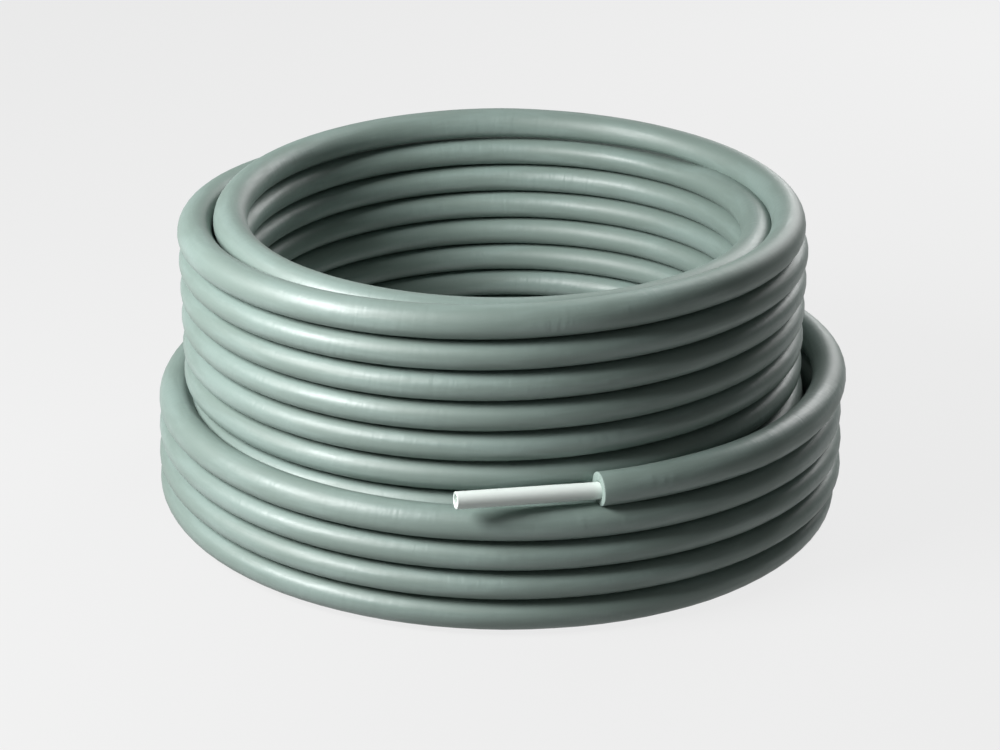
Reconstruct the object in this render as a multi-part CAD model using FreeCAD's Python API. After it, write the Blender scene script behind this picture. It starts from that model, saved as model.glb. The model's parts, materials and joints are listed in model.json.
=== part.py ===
import FreeCAD, Part
import math
import os

# A coil of insulated multilayer pipe, standing on its end on the floor.
# Millimetres, +Z up along the coil's axis. The model is built about that axis and then moved, so
# that the origin is under the middle of the whole part, its protruding pipe end included.
# The pipe is wound with its foam sleeve in three layers: an inner and a middle layer of full
# height, and a short outer layer round the foot. The outer end of the pipe leaves the top of the
# outer layer at the front (-Y), a little to the right (+X), and runs to the left.

# --- pipe and sleeve
PIPE_DIAMETER = 16.0
PIPE_WALL = 2.0
FOAM_THICKNESS = 9.0
FOAM_CLEARANCE = 0.2      # between the pipe and the hole in the foam, on the radius

# --- coil
FREE_BORE = 495.0         # clear diameter inside the innermost turns
INNER_ROWS = 10
MIDDLE_ROWS = 10
OUTER_ROWS = 4
INNER_PRESS = 2.7         # how far neighbouring turns of a layer press into each other
MIDDLE_PRESS = 3.9
OUTER_PRESS = 4.6
INNER_MIDDLE_PRESS = 0.5  # how far neighbouring layers press into each other
MIDDLE_OUTER_PRESS = 0.8
FLOOR_FLAT = 1.5          # how far the lowest turns are pressed flat by the coil's weight

# --- crossover: where the inner layer's last turn rises and goes over to the middle layer
CROSSOVER_RISE = 23.0     # its height at the back over the inner layer's top turn

# --- outer end of the coil
END_ANGLE = 17.0          # from the front (-Y) towards +X, where the sleeve is cut
END_TURN_ANGLE = 130.0    # length of the last turn that lies on the outer layer's top row
SEATED_LENGTH = 45.0      # pipe modelled inside the sleeve, curved as the turn is
CURVED_BARE_LENGTH = 4.0  # bare pipe that still follows the turn
STUB_LENGTH = 131.0       # straight bare pipe after that
STUB_RISE = 3.5           # degrees above level

# --- worked out from the above
TUBE_RADIUS = PIPE_DIAMETER / 2 + FOAM_THICKNESS
TUBE_DIAMETER = 2 * TUBE_RADIUS
INNER_PITCH = TUBE_DIAMETER - INNER_PRESS
MIDDLE_PITCH = TUBE_DIAMETER - MIDDLE_PRESS
OUTER_PITCH = TUBE_DIAMETER - OUTER_PRESS
INNER_RADIUS = FREE_BORE / 2 + TUBE_RADIUS
MIDDLE_RADIUS = INNER_RADIUS + TUBE_DIAMETER - INNER_MIDDLE_PRESS
OUTER_RADIUS = MIDDLE_RADIUS + TUBE_DIAMETER - MIDDLE_OUTER_PRESS
FIRST_HEIGHT = TUBE_RADIUS - FLOOR_FLAT
END_HEIGHT = FIRST_HEIGHT + OUTER_ROWS * OUTER_PITCH

UP = FreeCAD.Vector(0, 0, 1)


def row_heights(rows, pitch):
    """Heights of the tube centres of one layer, from the floor up."""
    return [FIRST_HEIGHT + row * pitch for row in range(rows)]


def disc(radius, height):
    """The tube's round section in the XZ plane, its centre at a radius and a height."""
    circle = Part.Circle(FreeCAD.Vector(radius, 0, height), FreeCAD.Vector(0, 1, 0), TUBE_RADIUS)
    return Part.Face(Part.Wire(circle.toShape()))


def at(radius, height):
    """A point in the XZ plane."""
    return FreeCAD.Vector(radius, 0, height)


def ridge(centre, start, end):
    """The arc of one turn's section, clockwise from start to end about its centre."""
    first = math.atan2(start.z - centre.z, start.x - centre.x)
    last = math.atan2(end.z - centre.z, end.x - centre.x)
    middle = first - ((first - last) % math.tau) / 2
    top = centre + at(math.cos(middle), math.sin(middle)) * TUBE_RADIUS
    return Part.Arc(start, top, end).toShape()


def junction(centre, following):
    """Where the outline leaves one turn's section and where it joins the next one.

    Sections that press into each other meet in one point, on the left of the way to the next;
    the gap between sections that don't is bridged straight.
    """
    step = following - centre
    way = at(step.x, step.z).normalize()
    left = at(-way.z, way.x)
    if step.Length >= 2 * TUBE_RADIUS:
        return centre + way * TUBE_RADIUS, following - way * TUBE_RADIUS
    half_width = math.sqrt(TUBE_RADIUS**2 - (step.Length / 2) ** 2)
    meeting = centre + step * 0.5 + left * half_width
    return meeting, meeting


def wound_layers():
    """The wound turns as one turned solid: every turn shows as a round ridge on its faces."""
    inner = [at(INNER_RADIUS, z) for z in row_heights(INNER_ROWS, INNER_PITCH)]
    middle = [at(MIDDLE_RADIUS, z) for z in row_heights(MIDDLE_ROWS, MIDDLE_PITCH)]
    outer = [at(OUTER_RADIUS, z) for z in row_heights(OUTER_ROWS, OUTER_PITCH)]
    beside_outer = min(middle, key=lambda centre: abs(centre.z - outer[-1].z))
    free_middle = [centre for centre in middle if centre.z >= beside_outer.z]

    # clockwise: up the bore, over the top, down the outside, and back along the floor
    centres = inner + free_middle[::-1] + outer[::-1] + middle[:1]
    flat_half_width = math.sqrt(TUBE_RADIUS**2 - FIRST_HEIGHT**2)
    edges = []
    for before, centre, after in zip(centres[-1:] + centres, centres, centres[1:] + centres[:1]):
        start = junction(before, centre)[1]
        end, next_start = junction(centre, after)
        if centre.z == FIRST_HEIGHT:
            flat_from = at(centre.x + flat_half_width, 0)
            flat_to = at(centre.x - flat_half_width, 0)
            on_floor = Part.LineSegment(flat_from, flat_to).toShape()
            edges += [ridge(centre, start, flat_from), on_floor, ridge(centre, flat_to, end)]
        else:
            edges.append(ridge(centre, start, end))
        if next_start != end:
            edges.append(Part.LineSegment(end, next_start).toShape())
    return Part.Face(Part.Wire(edges)).revolve(FreeCAD.Vector(0, 0, 0), UP, 360)


def turn_arc(radius, start_angle, sweep_angle):
    """Part of one level turn about the origin; angles are counter-clockwise from +X."""
    section = disc(radius, 0)
    section.rotate(FreeCAD.Vector(0, 0, 0), UP, start_angle)
    return section.revolve(FreeCAD.Vector(0, 0, 0), UP, sweep_angle)


def ball(radius, angle):
    """A ball of the tube's size on a level turn, to close an arc's end plainly."""
    turned = math.radians(angle)
    centre = FreeCAD.Vector(radius * math.cos(turned), radius * math.sin(turned), 0)
    return Part.makeSphere(TUBE_RADIUS, centre)


def last_turn():
    """The sleeve's last turn, lying on the outer layer's top row and cut square at the front."""
    cut_angle = END_ANGLE - 90
    arc = turn_arc(OUTER_RADIUS, cut_angle, END_TURN_ANGLE)
    shape = arc.fuse(ball(OUTER_RADIUS, cut_angle + END_TURN_ANGLE))
    shape.translate(UP * END_HEIGHT)
    return shape


def crossover():
    """The inner layer's last half turn, rising to the back on its way to the middle layer."""
    radius = (INNER_RADIUS + MIDDLE_RADIUS) / 2
    shape = turn_arc(radius, 0, 180).fuse([ball(radius, 0), ball(radius, 180)])
    tilt = math.degrees(math.atan(CROSSOVER_RISE / radius))
    shape.rotate(FreeCAD.Vector(0, 0, 0), FreeCAD.Vector(1, 0, 0), tilt)
    inner_top = row_heights(INNER_ROWS, INNER_PITCH)[-1]
    middle_top = row_heights(MIDDLE_ROWS, MIDDLE_PITCH)[-1]
    shape.translate(UP * max(inner_top, middle_top))
    return shape


def pipe_rod(radius):
    """A round rod along the pipe's end: it follows the turn out of the sleeve, then runs straight."""
    circle = Part.Circle(FreeCAD.Vector(0, 0, 0), FreeCAD.Vector(1, 0, 0), radius)
    section = Part.Face(Part.Wire(circle.toShape()))
    turn_centre = FreeCAD.Vector(0, OUTER_RADIUS, 0)
    curved_angle = math.degrees((SEATED_LENGTH + CURVED_BARE_LENGTH) / OUTER_RADIUS)
    curved = section.revolve(turn_centre, -UP, curved_angle)
    stub = section.extrude(FreeCAD.Vector(STUB_LENGTH, 0, 0))
    rod = curved.fuse(stub)

    straight_from = math.radians(END_ANGLE) - CURVED_BARE_LENGTH / OUTER_RADIUS
    across, ahead = math.sin(straight_from), math.cos(straight_from)
    rise = math.radians(STUB_RISE)
    start = FreeCAD.Vector(OUTER_RADIUS * across, -OUTER_RADIUS * ahead, END_HEIGHT)
    inward = FreeCAD.Vector(-across, ahead, 0)
    along = FreeCAD.Vector(-ahead * math.cos(rise), -across * math.cos(rise), math.sin(rise))
    turn = FreeCAD.Rotation(along, inward, along.cross(inward), "XYZ")
    rod.Placement = FreeCAD.Placement(start, turn)
    return rod


def insulation_coil():
    """The wound sleeve, with the hole that the pipe's end sits in."""
    hole = pipe_rod(PIPE_DIAMETER / 2 + FOAM_CLEARANCE)
    return wound_layers().fuse([last_turn(), crossover()]).cut(hole)


def pipe_end():
    """The bare end of the pipe and its first stretch inside the sleeve, with its bore."""
    return pipe_rod(PIPE_DIAMETER / 2).cut(pipe_rod(PIPE_DIAMETER / 2 - PIPE_WALL))


NODES = {
    "insulation_coil": insulation_coil,
    "pipe_end": pipe_end,
}

tube_length = math.tau * (
    INNER_ROWS * INNER_RADIUS + MIDDLE_ROWS * MIDDLE_RADIUS
    + (OUTER_ROWS + END_TURN_ANGLE / 360) * OUTER_RADIUS
)
print(f"pipe in the turns about {tube_length / 1000:.1f} m")

solids = {node: make() for node, make in NODES.items()}
whole = Part.makeCompound(list(solids.values())).optimalBoundingBox()
to_origin = FreeCAD.Vector(-whole.Center.x, -whole.Center.y, -whole.ZMin)
print(f"coil axis at x {to_origin.x:.3f}, y {to_origin.y:.3f} mm")

os.makedirs("parts", exist_ok=True)
for node, solid in solids.items():
    solid.translate(to_origin)
    solid.exportStep(f"parts/{node}.step")
    box = solid.optimalBoundingBox()
    print(f"{node}: {len(solid.Solids)} solid, valid {solid.isValid()}, {solid.Volume / 1e3:.0f} cm3,"
          f" {box.XLength:.1f} x {box.YLength:.1f} x {box.ZLength:.1f} mm")
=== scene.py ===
# %% [markdown]
# # A coil of insulated multilayer pipe
# The real object is one long white plastic pipe in a grey foam sleeve, wound in three layers and
# stood on its end. Everything that shows follows from one line: the path that the pipe takes from
# the inner end of the coil to the cut end at the front. So this lesson works out that line first,
# then sweeps the sleeve along it with Geometry Nodes, cuts the sleeve's ends, and adds the bare
# pipe, the materials, the floor, the lights and the camera.

# %% Load the fixed frame
import json
import math

import bmesh
import bpy
import numpy as np
from mathutils import Matrix, Vector

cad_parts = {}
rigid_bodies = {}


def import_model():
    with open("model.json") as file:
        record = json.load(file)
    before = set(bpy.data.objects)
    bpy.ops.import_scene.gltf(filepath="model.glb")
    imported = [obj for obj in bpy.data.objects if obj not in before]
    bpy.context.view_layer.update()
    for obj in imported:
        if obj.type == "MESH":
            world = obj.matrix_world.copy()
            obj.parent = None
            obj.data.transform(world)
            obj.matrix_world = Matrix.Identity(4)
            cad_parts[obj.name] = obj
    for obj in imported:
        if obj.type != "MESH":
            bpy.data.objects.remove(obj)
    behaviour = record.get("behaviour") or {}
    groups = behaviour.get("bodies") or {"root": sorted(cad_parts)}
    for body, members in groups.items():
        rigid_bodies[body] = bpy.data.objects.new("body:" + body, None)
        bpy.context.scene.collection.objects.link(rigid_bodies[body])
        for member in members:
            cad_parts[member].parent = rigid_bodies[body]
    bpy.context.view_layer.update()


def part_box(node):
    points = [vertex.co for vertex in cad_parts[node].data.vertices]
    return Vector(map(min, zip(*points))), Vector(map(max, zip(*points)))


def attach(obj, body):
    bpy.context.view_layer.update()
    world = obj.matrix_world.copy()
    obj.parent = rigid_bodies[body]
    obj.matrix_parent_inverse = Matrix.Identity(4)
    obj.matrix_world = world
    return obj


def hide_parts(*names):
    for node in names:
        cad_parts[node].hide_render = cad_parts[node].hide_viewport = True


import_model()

coil_low, coil_high = (Vector(corner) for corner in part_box("insulation_coil"))

# %% [markdown]
# ## Driving sizes
# The sleeve is 34 mm across: a 16 mm pipe with 9 mm of foam. The radii of the three layers come
# from the CAD coil's box, stepping inwards by what one layer takes up. Soft foam turns press into
# each other, so the rise from one turn to the next is a little less than the sleeve's diameter.

# %% Sizes of the winding, in metres and turns
SLEEVE_RADIUS = 0.017
PIPE_RADIUS = 0.008
PIPE_WALL = 0.002

AXIS = (coil_low + coil_high) / 2
OUTER_RADIUS = (coil_high.x - coil_low.x) / 2 - SLEEVE_RADIUS
MIDDLE_RADIUS = OUTER_RADIUS - 0.0332
INNER_RADIUS = MIDDLE_RADIUS - 0.0335

INNER_PITCH = 0.0315
MIDDLE_PITCH = 0.0295
OUTER_PITCH = 0.0291

FLOOR_CLEARANCE = 0.0158          # height of a turn's middle when it lies on the floor
TOP_HEIGHT = coil_high.z - SLEEVE_RADIUS - 0.0060
FRONT_SAG = 0.0172                # how much lower the inner layer lies at the front than at the back
OVAL = 0.0045                     # the coil is this much wider, each side, than it is deep
INNER_SHIFT = 0.0010              # the inner layer sits a little towards +X of the middle one
BACK_LIFT = 0.0080                # how much higher the middle layer lies at its back left
OUTER_SHIFT = 0.0065              # the outer layer sits a little towards +X of the others
LOOSE_OUT = 0.0050                # how far the last turn stands out on the +X side
LOOSE_UP = 0.0080                 # and how far it lifts there
SPREAD = 0.0035                   # the lowest turns have spread this far under the weight
END_HEIGHT = 0.1331
END_TURN = 15 - 17 / 360          # the sleeve is cut 17 degrees short of the front

print(f"layers at {INNER_RADIUS:.4f}, {MIDDLE_RADIUS:.4f} and {OUTER_RADIUS:.4f} m")
print(f"top turn's middle at {TOP_HEIGHT:.4f} m")

# %% [markdown]
# ## The line of the winding
# Count turns clockwise from above, with whole numbers at the front. The inner layer climbs from
# the floor until turn 0.5, at the back. There the pipe goes over to the middle layer, which climbs
# down again to the floor, steps out once more, and the short outer layer climbs to the cut end.
# A formula gives radius and height at any turn, and smooth steps join one layer to the next, so
# there is no list of points to keep.

# %% Radius and height at every turn
TURN_SAMPLES = 96
INNER_START = 0.5 - (TOP_HEIGHT - FLOOR_CLEARANCE) / INNER_PITCH
MIDDLE_TOP = TOP_HEIGHT + 0.0034


def smooth_step(value, low, high):
    """0 below low, 1 above high, and an even curve between."""
    share = np.clip((value - low) / (high - low), 0, 1)
    return share * share * (3 - 2 * share)


def soft_floor(height):
    """Keeps a height above the floor clearance with a rounded corner."""
    softness = 0.0025
    return FLOOR_CLEARANCE + softness * np.logaddexp(0, (height - FLOOR_CLEARANCE) / softness)


def winding(turn):
    """Radius and height of the sleeve's middle at each turn."""
    to_back = turn - 0.5
    climb = TOP_HEIGHT + INNER_PITCH * to_back
    sag = FRONT_SAG * (1 - np.cos(math.tau * to_back)) / 2 * np.clip(climb / TOP_HEIGHT, 0, 1)
    inner = np.minimum(climb - sag, TOP_HEIGHT)
    lift = BACK_LIFT * ((1 + np.cos(math.tau * (turn - 0.35))) / 2) ** 2 * smooth_step(turn, 0.9, 1.2)
    middle = MIDDLE_TOP - MIDDLE_PITCH * turn + lift
    outer = END_HEIGHT - OUTER_PITCH * (END_TURN - turn)
    over_the_top = smooth_step(turn, 0.47, 0.86)
    along_the_floor = smooth_step(turn, 10.25, 10.95)
    height = inner + (middle - inner) * over_the_top
    height = height + (outer - height) * along_the_floor
    radius = INNER_RADIUS + (MIDDLE_RADIUS - INNER_RADIUS) * over_the_top
    radius = radius + (OUTER_RADIUS - MIDDLE_RADIUS) * along_the_floor
    # the wound coil is slightly oval, and its last turn lies loose on the +X side
    side = -np.sin(math.tau * turn)
    loose = smooth_step(turn, 14.25, 14.68) * smooth_step(turn, END_TURN, 14.72)
    radius = radius + OVAL * (0.6 + 0.4 * over_the_top) * side**2 + LOOSE_OUT * loose
    # low down, the middle layer has moved out with the outer layer that lies against it
    low_down = smooth_step(turn, 6.3, 7.8)
    radius = radius + INNER_SHIFT * side * (1 - over_the_top) + OUTER_SHIFT * side * low_down
    radius = radius + SPREAD * low_down * smooth_step(turn, 14.6, 11.5)
    # hand-wound turns wander a little, each neighbour with the last
    wander = 0.0009 * np.sin(math.tau * turn * 2.03 + 1.0) + 0.0007 * np.sin(math.tau * turn * 3.07)
    settle = smooth_step(turn, END_TURN, END_TURN - 0.4)
    radius = radius + wander * settle
    # the cut end comes back to the outer layer's own radius, where the pipe's line starts
    near_end = smooth_step(turn, END_TURN - 0.10, END_TURN)
    return radius + (OUTER_RADIUS - radius) * near_end, soft_floor(height + LOOSE_UP * loose)


turns = np.arange(round((END_TURN - INNER_START) * TURN_SAMPLES), -1, -1)
turns = END_TURN - turns / TURN_SAMPLES
radii, heights = winding(turns)
angles = math.tau * turns
outward = np.stack([-np.sin(angles), -np.cos(angles), np.zeros_like(angles)], axis=1)
middles = outward * radii[:, None] + np.array([AXIS.x, AXIS.y, 0.0])
middles[:, 2] = heights
steps = np.linalg.norm(np.diff(middles, axis=0), axis=1)
lengths = np.concatenate([[0.0], np.cumsum(steps)])
print(f"{turns[-1] - turns[0]:.2f} turns, {lengths[-1]:.2f} m of sleeved pipe, {len(turns)} points")

# %% [markdown]
# ## How much room each turn has
# A turn that lies between two others is squeezed oval by them, and stays round where nothing
# touches it. For every point of the line, the turn above or below is the point one whole turn
# away, so half the distance to it is the room that the foam has on that side.

# %% Room above and below every point
FREE_ROOM = SLEEVE_RADIUS + 0.006
GROOVE_GAP = 0.0007               # half the gap that is left between neighbouring turns


def room_towards(shift, side):
    """Half the distance to the turn `shift` samples along, where that lies above (1) or below (-1)."""
    other = np.arange(len(turns)) + shift
    exists = (other >= 0) & (other < len(turns))
    other = np.clip(other, 0, len(turns) - 1)
    rise = (heights[other] - heights) * side
    beside = np.abs(radii[other] - radii) < SLEEVE_RADIUS
    touching = exists & beside & (rise > 0)
    return np.where(touching, np.minimum(rise / 2 - GROOVE_GAP, FREE_ROOM), FREE_ROOM)


def eased(room):
    """The same room with its steps spread over about a twelfth of a turn."""
    window = np.hanning(11)
    padded = np.pad(room, 5, mode="edge")
    return np.convolve(padded, window / window.sum(), mode="valid")


room_above = eased(np.minimum(room_towards(TURN_SAMPLES, 1), room_towards(-TURN_SAMPLES, 1)))
room_below = np.minimum(room_towards(TURN_SAMPLES, -1), room_towards(-TURN_SAMPLES, -1))
room_below = eased(np.minimum(room_below, np.maximum(heights, 0.001)))
print(f"room above {room_above.min() * 1000:.1f} to {room_above.max() * 1000:.1f} mm")

# %% The line as a mesh that carries those values
def line_mesh(name, points, values):
    """A mesh of one open line, with a named value or vector on each point."""
    mesh = bpy.data.meshes.new(name)
    edges = [(i, i + 1) for i in range(len(points) - 1)]
    mesh.from_pydata([tuple(p) for p in points], edges, [])
    for label, data in values.items():
        data = np.asarray(data, dtype=np.float32)
        kind = "FLOAT_VECTOR" if data.ndim == 2 else "FLOAT"
        attribute = mesh.attributes.new(label, kind, "POINT")
        attribute.data.foreach_set("vector" if data.ndim == 2 else "value", data.ravel())
    piece = bpy.data.objects.new(name, mesh)
    bpy.context.scene.collection.objects.link(piece)
    return piece


sleeve = line_mesh("insulation_sleeve", middles, {
    "middle": middles, "outward": outward, "along": lengths,
    "room_above": room_above, "room_below": room_below,
})

# %% [markdown]
# ## Materials as short expressions
# Node maths is easier to read as a formula. `Wire` holds one output of a node tree, and its
# operators add Math nodes, so `1 - mask` and `mask * 0.3` work as written. `Finish` makes a
# material with a Principled shader and adds any other node with one method.

# %% A wire and a finish
class Wire:
    """One value in a node tree, with arithmetic."""

    def __init__(self, finish, socket):
        self.finish = finish
        self.socket = socket

    def _math(self, operation, first, second):
        return self.finish.node("ShaderNodeMath", {"operation": operation}, {0: first, 1: second})

    def __add__(self, other):
        return self._math("ADD", self, other)

    def __radd__(self, other):
        return self._math("ADD", other, self)

    def __sub__(self, other):
        return self._math("SUBTRACT", self, other)

    def __rsub__(self, other):
        return self._math("SUBTRACT", other, self)

    def __mul__(self, other):
        return self._math("MULTIPLY", self, other)

    def __rmul__(self, other):
        return self._math("MULTIPLY", other, self)


class Finish:
    """A material whose nodes are added by type, settings and inputs."""

    def __init__(self, name):
        self.material = bpy.data.materials.new(name)
        self.material.use_nodes = True
        self.tree = self.material.node_tree
        self.shader = self.tree.nodes["Principled BSDF"]

    def node(self, kind, settings=None, inputs=None, output=0):
        """Adds a node; a ramp's stops are given as settings["stops"]."""
        made = self.tree.nodes.new(kind)
        for key, value in (settings or {}).items():
            if key == "stops":
                self._set_stops(made.color_ramp, value)
            else:
                setattr(made, key, value)
        for key, value in (inputs or {}).items():
            self.feed(made.inputs[key], value)
        return Wire(self, made.outputs[output])

    def _set_stops(self, ramp, stops):
        while len(ramp.elements) < len(stops):
            ramp.elements.new(1.0)
        for element, (place, colour) in zip(ramp.elements, stops):
            element.position = place
            element.color = (*colour, 1.0)

    def feed(self, socket, value):
        """Links a wire to a socket, or writes a plain value into it."""
        if isinstance(value, Wire):
            self.tree.links.new(value.socket, socket)
        else:
            socket.default_value = value

    def set(self, **inputs):
        """Sets the Principled shader's inputs; underscores stand for spaces."""
        for key, value in inputs.items():
            self.feed(self.shader.inputs[key.replace("_", " ")], value)
        return self.material


def colour_between(finish, share, first, second):
    """A colour that goes from first to second as share goes from 0 to 1."""
    ends = {0: share, 6: (*first, 1), 7: (*second, 1)}
    return finish.node("ShaderNodeMix", {"data_type": "RGBA"}, ends, 2)


def linear(red, green, blue):
    """A screen colour of 0 to 255 as the linear colour that Blender works in."""
    def one(value):
        value = value / 255
        return value / 12.92 if value <= 0.04045 else ((value + 0.055) / 1.055) ** 2.4
    return one(red), one(green), one(blue)

# %% [markdown]
# ## The sleeve's skin
# The sleeve is soft grey foam under a thin smooth film. The film has a satin sheen, faint cloudy
# patches where it was chilled, and shallow creases across the tube where bending bunches it up.
# The sweep stores where each point lies on the sleeve (along it, across it and up it), so the
# clouds can be stretched along the tube and the creases run round it.

# %% Film-covered foam
def stretch(finish, place, scales):
    """A place whose three parts are scaled, so that a pattern is drawn out along one of them."""
    return finish.node("ShaderNodeVectorMath", {"operation": "MULTIPLY"}, {0: place, 1: scales})


def noise(finish, place, detail, **more):
    """A noise texture at that place."""
    inputs = {"Vector": place, "Scale": 1.0, "Detail": detail, **more}
    return finish.node("ShaderNodeTexNoise", None, inputs)


def foam_skin():
    finish = Finish("foam_sleeve_film")
    place = finish.node("ShaderNodeAttribute", {"attribute_name": "on_sleeve"}, output=1)
    clouds = noise(finish, stretch(finish, place, (9, 45, 45)), 3.0, Roughness=0.55)
    fine = noise(finish, stretch(finish, place, (260, 420, 420)), 2.0)
    creases = noise(finish, stretch(finish, place, (150, 38, 38)), 2.0, Distortion=0.4)
    patches = finish.node("ShaderNodeMapRange", {"interpolation_type": "SMOOTHSTEP"},
                          {"Value": clouds, "From Min": 0.38, "From Max": 0.66})
    colour = colour_between(finish, patches, FILM_DARK, FILM_PALE)
    relief = creases * (0.35 + patches * 0.65) + fine * 0.10
    bump = finish.node("ShaderNodeBump", None, {"Height": relief, "Strength": 0.40, "Distance": 0.0014})
    roughness = 0.52 + patches * -0.09 + fine * 0.06
    return finish.set(Base_Color=colour, Roughness=roughness, Specular_IOR_Level=0.85, Normal=bump)


FILM_DARK = linear(119, 136, 129)
FILM_PALE = linear(131, 149, 143)
film = foam_skin()
print("film nodes:", len(film.node_tree.nodes))

# %% [markdown]
# ## Cut foam, pipe and its metal layer
# Where the knife went through, the foam shows its closed cells: paler and quite dull. The pipe is
# smooth white plastic with the very faint lines that its die leaves along it. At its sawn end a
# thin ring of aluminium shows between the two plastic layers.

# %% The other three finishes
def cut_foam():
    finish = Finish("cut_foam_cells")
    place = finish.node("ShaderNodeTexCoord", output=3)
    cells = finish.node("ShaderNodeTexVoronoi", None, {"Vector": place, "Scale": 1300.0})
    clouds = finish.node("ShaderNodeTexNoise", None, {"Vector": place, "Scale": 260.0, "Detail": 3.0})
    share = cells * 0.9 + clouds * 0.35
    colour = colour_between(finish, share, linear(180, 197, 190), linear(134, 153, 146))
    bump = finish.node("ShaderNodeBump", None, {"Height": 1 - cells, "Strength": 0.55, "Distance": 0.0005})
    return finish.set(Base_Color=colour, Roughness=0.92, Normal=bump)


def white_plastic():
    finish = Finish("white_pipe_plastic")
    place = finish.node("ShaderNodeAttribute", {"attribute_name": "on_pipe"}, output=1)
    lines = noise(finish, stretch(finish, place, (14, 900, 900)), 2.0)
    colour = colour_between(finish, lines, linear(236, 247, 241), linear(245, 252, 248))
    bump = finish.node("ShaderNodeBump", None, {"Height": lines, "Strength": 0.12, "Distance": 0.0002})
    return finish.set(Base_Color=colour, Roughness=0.30 + lines * 0.08, Normal=bump)


def layer_metal():
    finish = Finish("aluminium_layer")
    place = finish.node("ShaderNodeTexCoord", output=3)
    scratches = finish.node("ShaderNodeTexNoise", None, {"Vector": place, "Scale": 2500.0, "Detail": 2.0})
    colour = colour_between(finish, scratches, linear(176, 180, 184), linear(206, 209, 212))
    return finish.set(Base_Color=colour, Metallic=1.0, Roughness=0.30 + scratches * 0.2)


foam_cut = cut_foam()
pipe_white = white_plastic()
pipe_metal = layer_metal()
print("finishes:", [m.name for m in (film, foam_cut, pipe_white, pipe_metal)])

# %% [markdown]
# ## Sweep the sleeve with Geometry Nodes
# A tube that follows a path is what Curve to Mesh is for. The tree turns the line into a curve and
# sweeps a circle along it. Each point of the tube then looks up the middle of its section, works
# out how far it is above or below it, and is drawn in where the next turn is in the way: mostly by
# an oval squeeze, and by a small flat where the two turns touch. What the foam loses in height it
# gains a little in width. A little noise keeps the skin from looking
# machined. The sizes are named inputs, so the same tree can sweep any sleeve.

# %% Small helpers for a geometry tree
class Shaper:
    """A Geometry Nodes tree with one method that adds any node."""

    def __init__(self, name, inputs):
        self.tree = bpy.data.node_groups.new(name, "GeometryNodeTree")
        self.tree.interface.new_socket("Geometry", in_out="OUTPUT", socket_type="NodeSocketGeometry")
        self.tree.interface.new_socket("Line", in_out="INPUT", socket_type="NodeSocketGeometry")
        self.ids = {}
        for label, kind in inputs.items():
            socket = self.tree.interface.new_socket(label, in_out="INPUT", socket_type=kind)
            self.ids[label] = socket.identifier
        self.start = self.tree.nodes.new("NodeGroupInput")
        self.end = self.tree.nodes.new("NodeGroupOutput")

    def node(self, kind, settings=None, inputs=None, output=0):
        made = self.tree.nodes.new(kind)
        for key, value in (settings or {}).items():
            setattr(made, key, value)
        for key, value in (inputs or {}).items():
            if isinstance(value, bpy.types.NodeSocket):
                self.tree.links.new(value, made.inputs[key])
            else:
                made.inputs[key].default_value = value
        return made.outputs[output]

    def math(self, operation, *values):
        return self.node("ShaderNodeMath", {"operation": operation}, dict(enumerate(values)))

    def vector(self, operation, *values, output=0):
        return self.node("ShaderNodeVectorMath", {"operation": operation}, dict(enumerate(values)), output)

    def number(self, label):
        return self.node("GeometryNodeInputNamedAttribute", {"data_type": "FLOAT"}, {"Name": label})

    def arrow(self, label):
        return self.node("GeometryNodeInputNamedAttribute", {"data_type": "FLOAT_VECTOR"}, {"Name": label})

    def finish(self, geometry):
        realized = self.node("GeometryNodeRealizeInstances", None, {0: geometry})
        coat = {0: realized, "Material": self.start.outputs["Finish"]}
        painted = self.node("GeometryNodeSetMaterial", None, coat)
        self.tree.links.new(painted, self.end.inputs[0])


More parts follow.
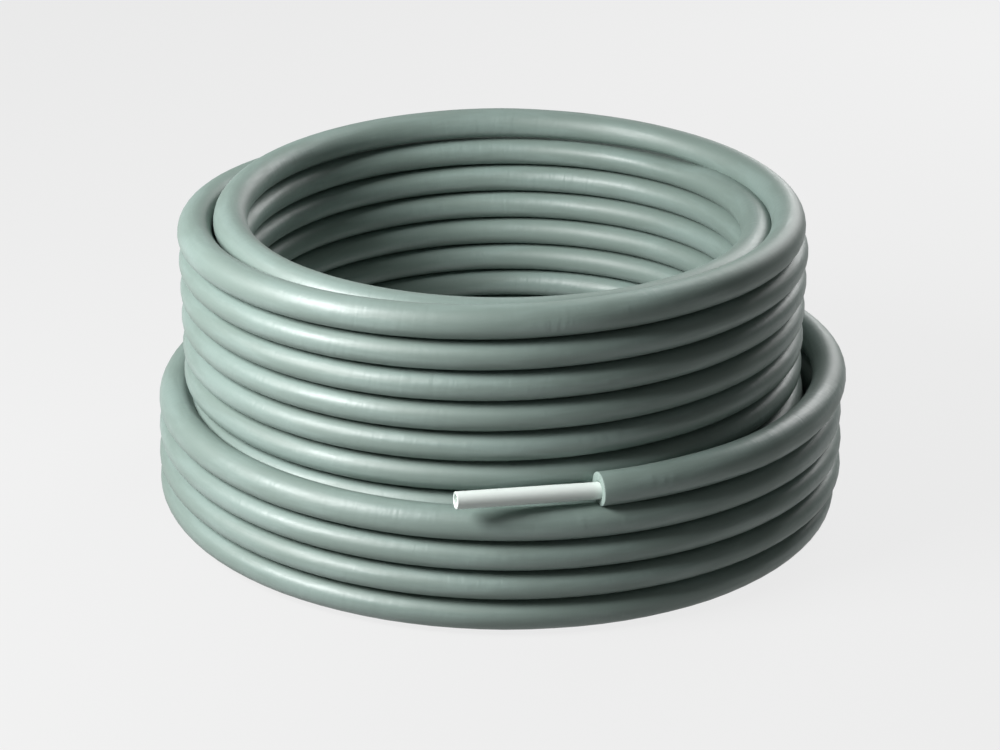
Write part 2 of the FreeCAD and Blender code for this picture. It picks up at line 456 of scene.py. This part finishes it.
# %% The tree that sweeps the sleeve
def sleeve_tree():
    shaper = Shaper("sleeve_along_winding", {
        "Radius": "NodeSocketFloat", "Sides": "NodeSocketInt", "Roundness": "NodeSocketFloat",
        "Softness": "NodeSocketFloat", "Bulge": "NodeSocketFloat", "Unevenness": "NodeSocketFloat",
        "Finish": "NodeSocketMaterial",
    })
    given = shaper.start.outputs
    curve = shaper.node("GeometryNodeMeshToCurve", None, {0: given["Line"]})
    circle = shaper.node("GeometryNodeCurvePrimitiveCircle", {"mode": "RADIUS"},
                         {"Resolution": given["Sides"], "Radius": given["Radius"]})
    tube = shaper.node("GeometryNodeCurveToMesh", None, {0: curve, 1: circle})

    offset = shaper.vector("SUBTRACT", shaper.node("GeometryNodeInputPosition"), shaper.arrow("middle"))
    out_way = shaper.arrow("outward")
    across = shaper.vector("DOT_PRODUCT", offset, out_way, output=1)
    up = shaper.node("ShaderNodeSeparateXYZ", None, {0: offset}, 2)
    is_above = shaper.math("GREATER_THAN", up, 0.0)
    room = shaper.node("GeometryNodeSwitch", {"input_type": "FLOAT"},
                       {0: is_above, 1: shaper.number("room_below"), 2: shaper.number("room_above")})
    squeeze = shaper.math("MINIMUM", 1.0, shaper.math("DIVIDE", room, given["Radius"]))
    change = shaper.math("MULTIPLY", given["Roundness"], shaper.math("SUBTRACT", squeeze, 1.0))
    squeeze = shaper.math("ADD", 1.0, change)
    oval_up = shaper.math("MULTIPLY", shaper.math("ABSOLUTE", up), squeeze)
    held = shaper.math("SMOOTH_MIN", oval_up, room, given["Softness"])
    new_up = shaper.math("MULTIPLY", held, shaper.math("SIGN", up))
    pressed = shaper.math("SUBTRACT", shaper.math("ABSOLUTE", up), held)
    share = shaper.math("DIVIDE", shaper.math("MULTIPLY", pressed, given["Bulge"]), given["Radius"])
    widen = shaper.math("MULTIPLY", across, share)
    move_out = shaper.vector("SCALE", out_way)
    shaper.tree.links.new(widen, move_out.node.inputs["Scale"])
    move_up = shaper.node("ShaderNodeCombineXYZ", None, {2: shaper.math("SUBTRACT", new_up, up)})

    place = shaper.node("ShaderNodeCombineXYZ", None, {0: shaper.number("along"), 1: across, 2: up})
    on_points = {"data_type": "FLOAT_VECTOR", "domain": "POINT"}
    stored = shaper.node("GeometryNodeStoreNamedAttribute", on_points,
                         {0: tube, "Name": "on_sleeve", "Value": place})
    noise_place = shaper.vector("MULTIPLY", place, (22.0, 60.0, 60.0))
    noise = shaper.node("ShaderNodeTexNoise", None, {"Vector": noise_place, "Scale": 1.0, "Detail": 2.0})
    ripple = shaper.math("MULTIPLY", shaper.math("SUBTRACT", noise, 0.5), given["Unevenness"])
    move_ripple = shaper.vector("SCALE", shaper.vector("NORMALIZE", offset))
    shaper.tree.links.new(ripple, move_ripple.node.inputs["Scale"])
    move = shaper.vector("ADD", shaper.vector("ADD", move_out, move_up), move_ripple)
    shaped = shaper.node("GeometryNodeSetPosition", None, {0: stored, "Offset": move})
    smooth = shaper.node("GeometryNodeSetShadeSmooth", None, {0: shaped})
    shaper.finish(smooth)
    return shaper


sweep = sleeve_tree()
print("sweep inputs:", sweep.ids)

# %% Run the tree and keep a plain mesh
def apply_tree(piece, shaper, sizes):
    """Runs a tree on a piece, and leaves the result as its plain mesh."""
    modifier = piece.modifiers.new("shape", "NODES")
    modifier.node_group = shaper.tree
    for label, value in sizes.items():
        modifier[shaper.ids[label]] = value
    evaluated = piece.evaluated_get(bpy.context.evaluated_depsgraph_get())
    mesh = bpy.data.meshes.new_from_object(evaluated)
    piece.modifiers.remove(modifier)
    mesh.name = piece.name
    piece.data = mesh
    return mesh


sleeve_mesh = apply_tree(sleeve, sweep, {
    "Radius": SLEEVE_RADIUS, "Sides": 36, "Roundness": 1.0, "Softness": 0.0010, "Bulge": 0.2,
    "Unevenness": 0.0006, "Finish": film,
})
print(f"sleeve: {len(sleeve_mesh.vertices)} points, {len(sleeve_mesh.polygons)} faces")

# %% [markdown]
# ## Cut the two ends square
# The swept tube is open at both ends. A knife leaves a flat face there with a slightly rounded
# lip, and a round hole that the pipe comes out of. Each open edge is carried inwards, ring by
# ring: over the lip, across the flat face to the hole, and a little way down the hole.

# %% Close an open end as a cut face
HOLE_RADIUS = PIPE_RADIUS + 0.0003
HOLE_DEPTH = 0.012


def ordered_ring(edges):
    """The points of a closed edge loop, in order."""
    ring = [edges[0].verts[0], edges[0].verts[1]]
    left = set(edges[1:])
    while left:
        step = next(edge for edge in ring[-1].link_edges if edge in left)
        left.remove(step)
        ring.append(step.other_vert(ring[-1]))
    return ring[:-1]


def open_rings(mesh):
    """Every open edge loop of a tube, in the same order on each run."""
    loose = [edge for edge in mesh.edges if edge.is_boundary]
    rings = []
    while loose:
        loop = []
        following = loose[0]
        while following is not None:
            loose.remove(following)
            loop.append(following)
            nearby = (edge for vertex in following.verts for edge in vertex.link_edges)
            following = next((edge for edge in nearby if edge in loose), None)
        rings.append(ordered_ring(loop))
    return rings


def close_cut(mesh, ring, centre, away):
    """Adds a cut face with its hole to an open ring; away points out of the tube."""
    rims = [vertex.co.copy() for vertex in ring]
    plan = [(1.0, 0.000), (0.985, 0.0006), (0.95, 0.0009), (0.80, 0.0008), (0.55, 0.0010), (0.25, 0.0007)]
    before = ring
    for share, height in plan + [(0.0, 0.0003), (0.0, -HOLE_DEPTH / 2), (0.0, -HOLE_DEPTH)]:
        if share == 1.0:
            continue
        after = []
        for rim in rims:
            spoke = rim - centre
            spoke -= away * spoke.dot(away)
            hole = centre + spoke.normalized() * HOLE_RADIUS
            flat_rim = centre + spoke
            after.append(mesh.verts.new(hole.lerp(flat_rim, share) + away * height))
        for i in range(len(ring)):
            j = (i + 1) % len(ring)
            face = mesh.faces.new((before[i], before[j], after[j], after[i]))
            face.material_index = 1
            face.smooth = True
        before = after
    bottom = mesh.faces.new(before)
    bottom.material_index = 1


shape = bmesh.new()
shape.from_mesh(sleeve_mesh)
ends = [
    (Vector(middles[0]), Vector(middles[0] - middles[1]).normalized()),
    (Vector(middles[-1]), Vector(middles[-1] - middles[-2]).normalized()),
]
for ring in open_rings(shape):
    heart = sum((vertex.co for vertex in ring), Vector()) / len(ring)
    centre, away = min(ends, key=lambda end: (end[0] - heart).length)
    close_cut(shape, ring, centre, away)
bmesh.ops.recalc_face_normals(shape, faces=shape.faces)
sleeve_mesh.materials.append(foam_cut)
shape.to_mesh(sleeve_mesh)
shape.free()
print("open edges left:", sum(1 for count in np.bincount(
    [sleeve_mesh.loops[i].edge_index for i in range(len(sleeve_mesh.loops))]) if count == 1))

# %% [markdown]
# ## The bare pipe
# The pipe follows the last turn out of the sleeve, then runs straight for about 13 cm, a few
# degrees above level. It is modelled as rings round that line: along the outside, over a small
# chamfer left by the pipe cutter, across the sawn face with its thin metal ring, and back down the
# bore. The CAD pipe is the same tube, so this piece takes its place and adds those details.

# %% The line of the pipe's end
SEATED_LENGTH = 0.045
CURVED_BARE = 0.004
STUB_LENGTH = 0.131
STUB_RISE = math.radians(3.5)

straight_angle = math.tau * END_TURN + CURVED_BARE / OUTER_RADIUS
stub_outward = Vector((-math.sin(straight_angle), -math.cos(straight_angle), 0))
stub_start = Vector((AXIS.x, AXIS.y, 0)) + stub_outward * OUTER_RADIUS + Vector((0, 0, END_HEIGHT))
level_way = Vector((-math.cos(straight_angle), math.sin(straight_angle), 0))
stub_way = level_way * math.cos(STUB_RISE) + Vector((0, 0, math.sin(STUB_RISE)))


def pipe_point(distance):
    """Middle of the pipe and its direction at a distance from where the straight stub starts."""
    if distance >= 0:
        return stub_start + stub_way * distance, stub_way
    turned = distance / OUTER_RADIUS
    way = stub_way * math.cos(turned) + stub_outward * math.sin(-turned)
    middle = stub_start + stub_way * math.sin(turned) * OUTER_RADIUS
    middle -= stub_outward * (1 - math.cos(turned)) * OUTER_RADIUS
    return middle, way


# %% Rings of the pipe
PIPE_SIDES = 64
CHAMFER = 0.0004
BORE_RADIUS = PIPE_RADIUS - PIPE_WALL
METAL_OUTSIDE = 0.0072
METAL_INSIDE = 0.0068
METAL_SUNK = 0.0001               # the metal was cut a hair deeper than the plastic
METAL_LIP = 0.00005

curved_runs = np.linspace(-SEATED_LENGTH - CURVED_BARE, 0, 9)
straight_runs = np.linspace(0, STUB_LENGTH, 13)[1:]
runs = np.concatenate([curved_runs, straight_runs])
tip = runs[-1]
profile = [(run, PIPE_RADIUS) for run in runs[:-1]]
profile += [(tip - 0.0012, PIPE_RADIUS), (tip - CHAMFER, PIPE_RADIUS), (tip, PIPE_RADIUS - CHAMFER)]
profile += [(tip, METAL_OUTSIDE), (tip - METAL_SUNK, METAL_OUTSIDE - METAL_LIP)]
profile += [(tip - METAL_SUNK, METAL_INSIDE + METAL_LIP)]
profile += [(tip, METAL_INSIDE), (tip, BORE_RADIUS + 0.0003), (tip - 0.0003, BORE_RADIUS)]
profile += [(tip - 0.0012, BORE_RADIUS)] + [(run, BORE_RADIUS) for run in runs[-2::-1]]
metal_step = next(i for i, (run, radius) in enumerate(profile) if radius == METAL_OUTSIDE - METAL_LIP)


def ring_of_pipe(mesh, run, radius, places):
    middle, way = pipe_point(run)
    side = way.cross(Vector((0, 0, 1))).normalized()
    up = side.cross(way)
    ring = []
    for i in range(PIPE_SIDES):
        angle = math.tau * i / PIPE_SIDES
        spoke = side * math.cos(angle) + up * math.sin(angle)
        ring.append(mesh.verts.new(middle + spoke * radius))
        places.append((run, math.cos(angle) * radius, math.sin(angle) * radius))
    return ring


shape = bmesh.new()
places = []
rings = [ring_of_pipe(shape, run, radius, places) for run, radius in profile]
for i, (ring, following) in enumerate(zip(rings, rings[1:] + rings[:1])):
    for j in range(PIPE_SIDES):
        k = (j + 1) % PIPE_SIDES
        face = shape.faces.new((ring[j], ring[k], following[k], following[j]))
        face.material_index = 1 if i == metal_step else 0
        face.smooth = True
bmesh.ops.recalc_face_normals(shape, faces=shape.faces)
pipe_mesh = bpy.data.meshes.new("multilayer_pipe_end")
shape.to_mesh(pipe_mesh)
shape.free()
on_pipe = pipe_mesh.attributes.new("on_pipe", "FLOAT_VECTOR", "POINT")
on_pipe.data.foreach_set("vector", np.array(places, dtype=np.float32).ravel())
pipe_mesh.materials.append(pipe_white)
pipe_mesh.materials.append(pipe_metal)
sharp = math.radians(30)
pipe_mesh.set_sharp_from_angle(angle=sharp)
pipe = bpy.data.objects.new("multilayer_pipe_end", pipe_mesh)
bpy.context.scene.collection.objects.link(pipe)
print(f"pipe end: {len(pipe_mesh.polygons)} faces, tip at {tuple(round(v, 4) for v in pipe_point(tip)[0])}")

# %% [markdown]
# ## Join the pieces to the frame
# Both pieces belong to the one body of this part. Each stands for its CAD node, which stays in the
# physics model.

# %% Ride and replace
for piece, node in ((sleeve, "insulation_coil"), (pipe, "pipe_end")):
    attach(piece, "root")
    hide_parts(node)
    print(piece.name, "stands for", node)

# %% [markdown]
# ## Floor, light and camera
# The floor is plain and nearly white. To the camera it is partly self-lit, so that it reads as
# a white studio and still keeps the coil's soft shadow. One soft lamp near the left front
# gives the broad sheen on the turns, a wider one behind the coil lights its far sides, and a weak
# even sky fills the rest.

# %% A pale floor that keeps its shadow
def studio_white(lit_share):
    """A white floor; the camera and reflections see it partly self-lit."""
    finish = Finish("studio_floor")
    finish.set(Base_Color=(0.22, 0.22, 0.22, 1), Roughness=0.9)
    rays = finish.tree.nodes.new("ShaderNodeLightPath")
    camera_ray, glossy_ray, through_ray = (
        Wire(finish, rays.outputs[f"Is {kind} Ray"]) for kind in ("Camera", "Glossy", "Transmission"))
    seen = finish.node("ShaderNodeMath", {"operation": "MAXIMUM"}, {0: camera_ray, 1: glossy_ray})
    seen = finish.node("ShaderNodeMath", {"operation": "MAXIMUM"}, {0: seen, 1: through_ray})
    glow = finish.node("ShaderNodeEmission", None, {"Color": (1, 1, 1, 1), "Strength": 1.0})
    shader = Wire(finish, finish.shader.outputs[0])
    mixed = finish.node("ShaderNodeMixShader", None, {0: seen * lit_share, 1: shader, 2: glow})
    output = next(node for node in finish.tree.nodes if node.type == "OUTPUT_MATERIAL")
    finish.tree.links.new(mixed.socket, output.inputs["Surface"])
    return finish.material


FLOOR_SIZE = 14.0
half = FLOOR_SIZE / 2
floor_mesh = bpy.data.meshes.new("studio_floor")
corners = [(-half, -half, 0), (half, -half, 0), (half, half, 0), (-half, half, 0)]
floor_mesh.from_pydata(corners, [], [(0, 1, 2, 3)])
floor_mesh.materials.append(studio_white(0.80))
floor = bpy.data.objects.new("studio_floor", floor_mesh)
bpy.context.scene.collection.objects.link(floor)

# %% Sky and lamps
def soft_lamp(name, place, target, size, power):
    """A square soft lamp that faces a target."""
    lamp = bpy.data.lights.new(name, "AREA")
    lamp.size = size
    lamp.energy = power
    holder = bpy.data.objects.new(name, lamp)
    holder.location = place
    holder.rotation_euler = (Vector(target) - Vector(place)).to_track_quat("-Z", "Y").to_euler()
    bpy.context.scene.collection.objects.link(holder)
    return holder


def white_sky(strength):
    """An even sky that the camera and rays through glass see as white."""
    world = bpy.data.worlds.new("studio_sky")
    world.use_nodes = True
    nodes, links = world.node_tree.nodes, world.node_tree.links
    rays = nodes.new("ShaderNodeLightPath")
    seen = nodes.new("ShaderNodeMath")
    seen.operation = "MAXIMUM"
    links.new(rays.outputs["Is Camera Ray"], seen.inputs[0])
    links.new(rays.outputs["Is Transmission Ray"], seen.inputs[1])
    level = nodes.new("ShaderNodeMapRange")
    level.inputs["To Min"].default_value = strength
    level.inputs["To Max"].default_value = 1.0
    links.new(seen.outputs[0], level.inputs["Value"])
    background = nodes["Background"]
    background.inputs["Color"].default_value = (1, 1, 1, 1)
    links.new(level.outputs[0], background.inputs["Strength"])
    return world


scene = bpy.context.scene
scene.world = white_sky(0.10)
heart = (AXIS.x, AXIS.y, 0.2)
soft_lamp("key_lamp", (-1.26, -0.70, 1.22), heart, 0.75, 52)
soft_lamp("back_lamp", (1.5, 2.2, 1.5), heart, 1.6, 55)

# %% The camera, and how colours are shown
camera_data = bpy.data.cameras.new("camera")
camera_data.sensor_width = 36.0
camera_data.lens = 75.9
camera = bpy.data.objects.new("camera", camera_data)
camera.location = (AXIS.x + 0.007, AXIS.y - 2.042, 0.953)
camera.rotation_euler = (math.pi / 2 - 0.389, 0, 0)
scene.collection.objects.link(camera)
scene.camera = camera
scene.view_settings.view_transform = "Standard"
